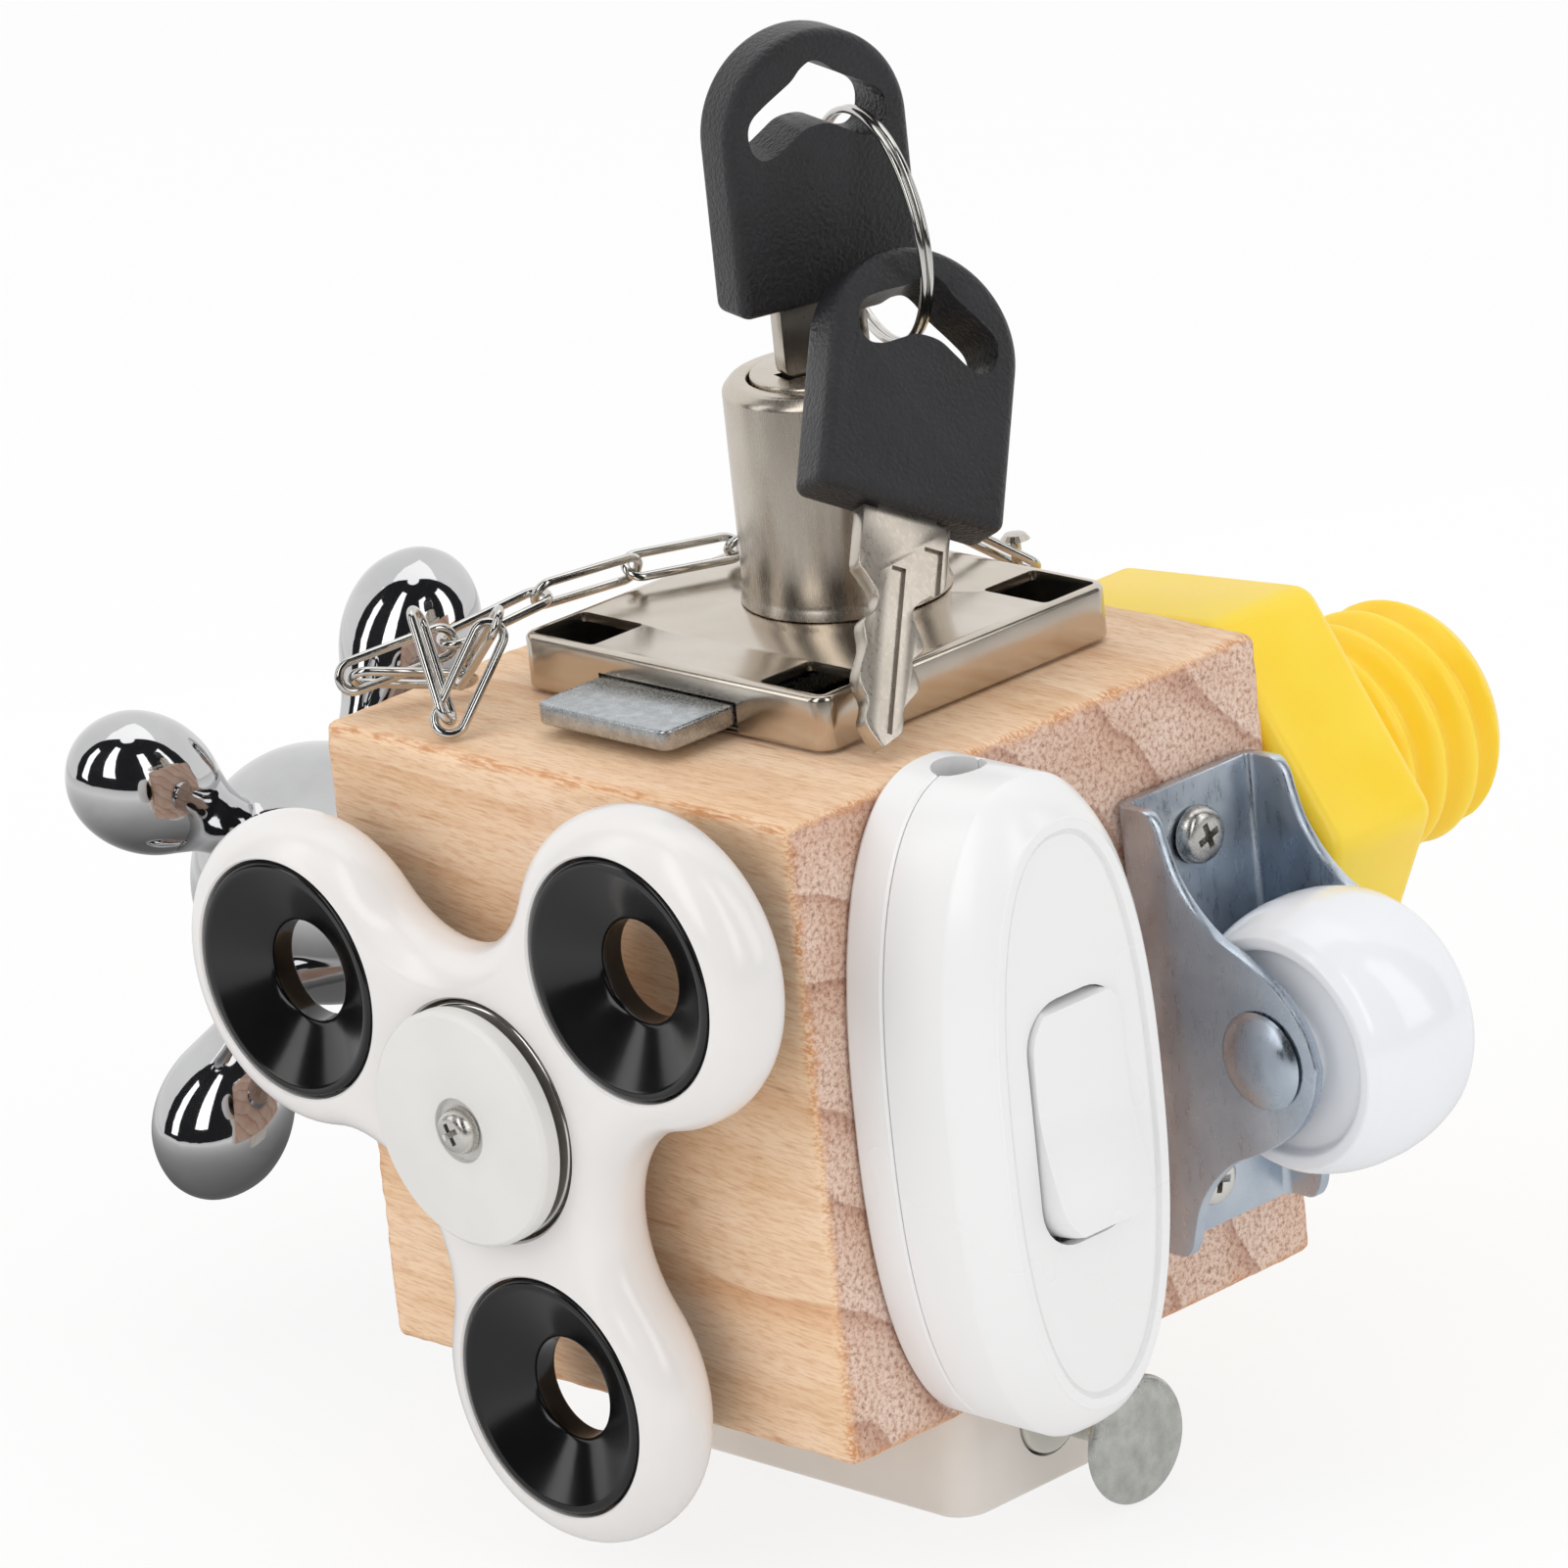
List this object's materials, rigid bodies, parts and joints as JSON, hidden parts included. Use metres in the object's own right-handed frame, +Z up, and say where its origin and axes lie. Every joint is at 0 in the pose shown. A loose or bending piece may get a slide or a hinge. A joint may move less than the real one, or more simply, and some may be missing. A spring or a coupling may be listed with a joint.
{
  "type": "wooden busy cube",
  "caption": "Pine fidget cube with a spinner, tap handle, cord switch, castor, toy bolt, drawer lock with keys, chain and push latch.",
  "frame": {"origin": "middle of the underside of the push latch that the cube stands on", "axes": "+Z up; the spinner faces -Y, the switch and castor +X, the tap handle -X, the toy bolt +Y, the lock +Z"},
  "size_m": [0.1371, 0.1142, 0.1316],
  "materials": {
    "black_enamel": "black gloss enamel",
    "black_plastic": "fine grain",
    "bright_steel": "bright nickel plated",
    "chrome": "mirror",
    "clear_plastic": "translucent moulding",
    "latch_plastic": "moulded",
    "pine": "planed, unvarnished",
    "satin_nickel": "satin nickel plated",
    "wheel_nylon": "moulded",
    "white_plastic": "moulded",
    "yellow_plastic": "moulded",
    "zinc_plate": "zinc plated"
  },
  "bodies": {
    "cube": {"bearing_inner_race": "bright_steel", "block": "pine", "castor_axle": "zinc_plate", "castor_bracket": "zinc_plate", "castor_screw_1": "bright_steel", "castor_screw_2": "bright_steel", "chain_link_01": "bright_steel", "chain_link_02": "bright_steel", "chain_link_03": "bright_steel", "chain_link_04": "bright_steel", "chain_link_05": "bright_steel", "chain_link_06": "bright_steel", "chain_link_07": "bright_steel", "chain_link_08": "bright_steel", "chain_link_09": "bright_steel", "chain_link_10": "bright_steel", "chain_link_11": "bright_steel", "chain_nail": "bright_steel", "latch_body": "latch_plastic", "latch_screw_1": "bright_steel", "latch_screw_2": "bright_steel", "lock_barrel": "satin_nickel", "lock_base_plate": "satin_nickel", "lock_case": "satin_nickel", "lock_screw_1": "bright_steel", "lock_screw_2": "bright_steel", "lock_screw_3": "bright_steel", "lock_screw_4": "bright_steel", "pin_bush": "clear_plastic", "spinner_cap": "white_plastic", "spinner_screw": "bright_steel", "spinner_spacer": "white_plastic", "switch_base": "white_plastic", "switch_cover": "white_plastic", "switch_screw_1": "bright_steel", "switch_screw_2": "bright_steel", "tap_screw": "bright_steel", "tap_stem": "satin_nickel", "toy_bolt_screw": "bright_steel"},
    "spinner": {"spinner_body": "white_plastic", "spinner_weight_1": "black_enamel", "spinner_weight_2": "black_enamel", "spinner_weight_3": "black_enamel", "bearing_outer_race": "bright_steel", "bearing_cage": "bright_steel"},
    "tap": {"tap_handle": "chrome", "tap_button": "chrome"},
    "rocker": {"switch_rocker": "white_plastic"},
    "wheel": {"castor_wheel": "wheel_nylon"},
    "toy_bolt": {"toy_bolt": "yellow_plastic"},
    "latch_pin": {"latch_pin": "bright_steel"},
    "deadbolt": {"lock_deadbolt": "zinc_plate"},
    "plug": {"lock_plug": "satin_nickel", "lock_cam": "zinc_plate"},
    "key": {"key_blade_1": "bright_steel", "key_head_1": "black_plastic"},
    "ring": {"key_ring": "bright_steel"},
    "spare_key": {"key_blade_2": "bright_steel", "key_head_2": "black_plastic"}
  },
  "joints": [
    {"name": "spinner_spin", "type": "hinge", "parent": "cube", "child": "spinner", "pos_m": [-0.0006, -0.03, 0.0444], "axis": [0, -1, 0], "continuous": true},
    {"name": "tap_turn", "type": "hinge", "parent": "cube", "child": "tap", "pos_m": [-0.03, 0, 0.0425], "axis": [-1, 0, 0], "continuous": true},
    {"name": "rocker_tilt", "type": "hinge", "parent": "cube", "child": "rocker", "pos_m": [0.0434, -0.0136, 0.0445], "axis": [0, 1, 0], "range_deg": [0, 14]},
    {"name": "castor_roll", "type": "hinge", "parent": "cube", "child": "wheel", "pos_m": [0.0464, 0.018, 0.0421], "axis": [0, 1, 0], "continuous": true},
    {"name": "toy_bolt_turn", "type": "hinge", "parent": "cube", "child": "toy_bolt", "pos_m": [0.0135, 0.03, 0.0516], "axis": [0, 1, 0], "continuous": true},
    {"name": "latch_press", "type": "slide", "parent": "cube", "child": "latch_pin", "axis": [-1, 0, 0], "range_m": [0, 0.006], "stiffness_N_per_m": 60, "springref_m": -0.002},
    {"name": "plug_turn", "type": "hinge", "parent": "cube", "child": "plug", "pos_m": [-0.0006, 0.009, 0.0733], "axis": [0, 0, 1], "range_deg": [0, 90]},
    {"name": "deadbolt_slide", "type": "slide", "parent": "cube", "child": "deadbolt", "axis": [0, 1, 0], "range_m": [0, 0.0084]},
    {"name": "key_pull", "type": "slide", "parent": "plug", "child": "key", "axis": [0, 0, 1], "range_m": [0, 0.0165]},
    {"name": "ring_swing", "type": "hinge", "parent": "key", "child": "ring", "pos_m": [0.00081, 0.01425, 0.1229], "axis": [-0.008, -0.0296, 0.9995], "range_deg": [0, 6]},
    {"name": "spare_key_swing", "type": "hinge", "parent": "ring", "child": "spare_key", "pos_m": [0.01058, 0.01122, 0.10552], "axis": [-0.867, 0.1133, -0.4852], "range_deg": [0, 6]}
  ],
  "couplings": [
    {"joint": "deadbolt_slide", "follows": "plug_turn", "m_per_rad": 0.0053476}
  ]
}
